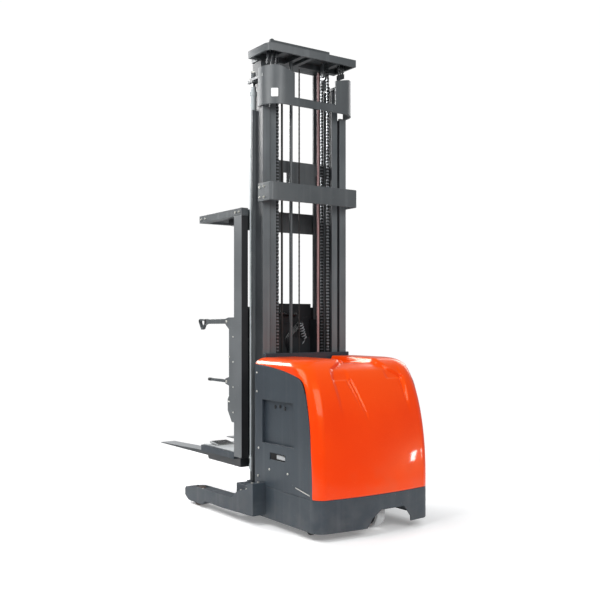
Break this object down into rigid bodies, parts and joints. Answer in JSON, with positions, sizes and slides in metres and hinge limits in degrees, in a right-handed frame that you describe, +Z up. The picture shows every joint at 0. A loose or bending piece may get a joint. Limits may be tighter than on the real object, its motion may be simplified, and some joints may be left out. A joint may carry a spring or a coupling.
{
  "type": "order picker truck",
  "caption": "Electric high-level order picker: hooded power unit, straddle legs, three-stage telescopic mast, operator cab with overhead guard, side gates and forks.",
  "frame": {"origin": "middle of the footprint, on the floor", "axes": "+Z up, +Y towards the fork tips, +X to the right of an operator facing the forks"},
  "size_m": [1.24, 2.67, 3.69],
  "materials": {
    "hood": "glossy orange moulding",
    "body": "satin dark grey-blue paint",
    "mast": "satin mid-grey paint, worn bright at the edges",
    "cylinder": "smooth light grey paint",
    "frame_black": "matt black paint",
    "case_black": "fine-grained black moulding",
    "steel": "machined",
    "heat_sink": "cast and finned",
    "chain": "oiled dark steel",
    "chrome": "polished",
    "rubber": "matt",
    "tread": "worn light grey tread",
    "load_tread": "dark brown tread",
    "mat": "fine-grained light grey",
    "hose": "smooth cover",
    "red": "smooth"
  },
  "bodies": {
    "chassis": {"chassis_skirt": "body", "side_panel_left": "body", "side_panel_right": "body", "base_frame": "frame_black", "straddle_leg_left": "body", "straddle_leg_right": "body", "battery_pack": "case_black", "hydraulic_unit": "frame_black", "motor_controller": "heat_sink", "outer_mast_left": "mast", "outer_mast_right": "mast", "outer_crossbeam": "mast", "lift_cylinder_left": "cylinder", "lift_cylinder_right": "cylinder"},
    "hood_cover": {"hood": "hood"},
    "latch": {"latch_lever": "steel"},
    "load_roller_left": {"load_wheel_left": "load_tread"},
    "load_roller_right": {"load_wheel_right": "load_tread"},
    "drive_unit": {"drive_gearbox": "frame_black", "drive_motor": "frame_black"},
    "drive_roller": {"drive_wheel": "tread"},
    "caster_swivel_fork": {"caster_fork": "frame_black"},
    "caster_roller": {"caster_wheel": "rubber"},
    "middle_stage": {"middle_mast_left": "mast", "middle_mast_right": "mast", "lift_chain_left": "chain", "lift_chain_right": "chain", "cylinder_rod_left": "chrome", "cylinder_rod_right": "chrome", "middle_yoke": "mast", "middle_tie": "mast", "hose_left": "rubber", "hose_right": "hose", "control_cable": "rubber"},
    "inner_stage": {"inner_mast_left": "mast", "inner_mast_right": "mast", "riser_pipe": "cylinder", "head_plate": "mast", "carriage_chain_left": "chain", "carriage_chain_right": "chain"},
    "sheave_left": {"head_sheave_left": "steel"},
    "sheave_right": {"head_sheave_right": "steel"},
    "cab": {"carriage_frame": "frame_black", "fork_left": "body", "fork_right": "body", "platform_floor": "body", "floor_mat": "mat", "cab_post_left": "mast", "cab_post_right": "mast", "overhead_guard": "mast", "guard_lamp": "case_black", "console": "case_black"},
    "pedal": {"presence_pedal": "mat"},
    "upper_bar_left": {"gate_upper_left": "mast"},
    "upper_bar_right": {"gate_upper_right": "mast"},
    "lower_bar_left": {"gate_lower_left": "mast"},
    "lower_bar_right": {"gate_lower_right": "mast"},
    "wheel_control": {"steering_wheel": "rubber"},
    "lever_control": {"control_lever": "rubber"},
    "stop_control": {"stop_button": "red"}
  },
  "joints": [
    {"name": "hood_open", "type": "hinge", "parent": "chassis", "child": "hood_cover", "pos_m": [0, -0.485, 1.235], "axis": [-1, 0, 0], "range_deg": [0, 55]},
    {"name": "latch_turn", "type": "hinge", "parent": "chassis", "child": "latch", "pos_m": [-0.49, -0.79, 0.52], "axis": [1, 0, 0], "range_deg": [0, 25]},
    {"name": "load_wheel_spin_left", "type": "hinge", "parent": "chassis", "child": "load_roller_left", "pos_m": [-0.56625, 0.265, 0.075], "axis": [1, 0, 0], "continuous": true},
    {"name": "load_wheel_spin_right", "type": "hinge", "parent": "chassis", "child": "load_roller_right", "pos_m": [0.56625, 0.265, 0.075], "axis": [1, 0, 0], "continuous": true},
    {"name": "drive_steer", "type": "hinge", "parent": "chassis", "child": "drive_unit", "pos_m": [0.1, -1.12, 0.3], "axis": [0, 0, 1], "range_deg": [-90, 90]},
    {"name": "drive_spin", "type": "hinge", "parent": "drive_unit", "child": "drive_roller", "pos_m": [0.1, -1.12, 0.115], "axis": [1, 0, 0], "continuous": true},
    {"name": "caster_swivel", "type": "hinge", "parent": "chassis", "child": "caster_swivel_fork", "pos_m": [-0.4, -1.09, 0.12], "axis": [0, 0, 1], "continuous": true},
    {"name": "caster_spin", "type": "hinge", "parent": "caster_swivel_fork", "child": "caster_roller", "pos_m": [-0.4, -1.065, 0.045], "axis": [1, 0, 0], "continuous": true},
    {"name": "mast_lift", "type": "slide", "parent": "chassis", "child": "middle_stage", "axis": [0, 0, 1], "range_m": [0, 2.45], "deforming": ["lift_chain_left", "lift_chain_right", "hose_left", "hose_right", "control_cable"]},
    {"name": "inner_lift", "type": "slide", "parent": "middle_stage", "child": "inner_stage", "axis": [0, 0, 1], "range_m": [0, 2.45]},
    {"name": "cab_lift", "type": "slide", "parent": "inner_stage", "child": "cab", "axis": [0, 0, 1], "range_m": [-0.26, 0.7], "deforming": ["carriage_chain_left", "carriage_chain_right"]},
    {"name": "sheave_spin_left", "type": "hinge", "parent": "inner_stage", "child": "sheave_left", "pos_m": [-0.243, -0.345, 3.505], "axis": [1, 0, 0], "continuous": true},
    {"name": "sheave_spin_right", "type": "hinge", "parent": "inner_stage", "child": "sheave_right", "pos_m": [0.243, -0.345, 3.505], "axis": [1, 0, 0], "continuous": true},
    {"name": "pedal_press", "type": "hinge", "parent": "cab", "child": "pedal", "pos_m": [-0.31, 0.295, 0.466], "axis": [1, 0, 0], "range_deg": [-4, 0], "stiffness_Nm_per_rad": 60, "springref_deg": 2.86},
    {"name": "upper_gate_left", "type": "hinge", "parent": "cab", "child": "upper_bar_left", "pos_m": [-0.434, 0.031, 1.502], "axis": [1, 0, 0], "range_deg": [0, 85]},
    {"name": "upper_gate_right", "type": "hinge", "parent": "cab", "child": "upper_bar_right", "pos_m": [0.434, 0.031, 1.502], "axis": [1, 0, 0], "range_deg": [0, 85]},
    {"name": "lower_gate_left", "type": "hinge", "parent": "cab", "child": "lower_bar_left", "pos_m": [-0.434, 0.031, 1.02], "axis": [1, 0, 0], "range_deg": [0, 85]},
    {"name": "lower_gate_right", "type": "hinge", "parent": "cab", "child": "lower_bar_right", "pos_m": [0.434, 0.031, 1.02], "axis": [1, 0, 0], "range_deg": [0, 85]},
    {"name": "steering_turn", "type": "hinge", "parent": "cab", "child": "wheel_control", "pos_m": [-0.15, 0.03, 1.33], "axis": [0, 0.7526, 0.6585], "continuous": true},
    {"name": "lever_tilt", "type": "hinge", "parent": "cab", "child": "lever_control", "pos_m": [0.15, 0.03, 1.33], "axis": [1, 0, 0], "range_deg": [-20, 20], "stiffness_Nm_per_rad": 6},
    {"name": "stop_press", "type": "slide", "parent": "cab", "child": "stop_control", "axis": [0, 0.7526, 0.6585], "range_m": [-0.008, 0], "stiffness_N_per_m": 500, "springref_m": 0.004}
  ],
  "couplings": [
    {"joint": "inner_lift", "follows": "mast_lift", "ratio": 1},
    {"joint": "sheave_spin_left", "follows": "cab_lift", "rad_per_m": 25},
    {"joint": "sheave_spin_right", "follows": "cab_lift", "rad_per_m": 25},
    {"joint": "lower_gate_left", "follows": "upper_gate_left", "ratio": 1},
    {"joint": "lower_gate_right", "follows": "upper_gate_right", "ratio": 1}
  ]
}
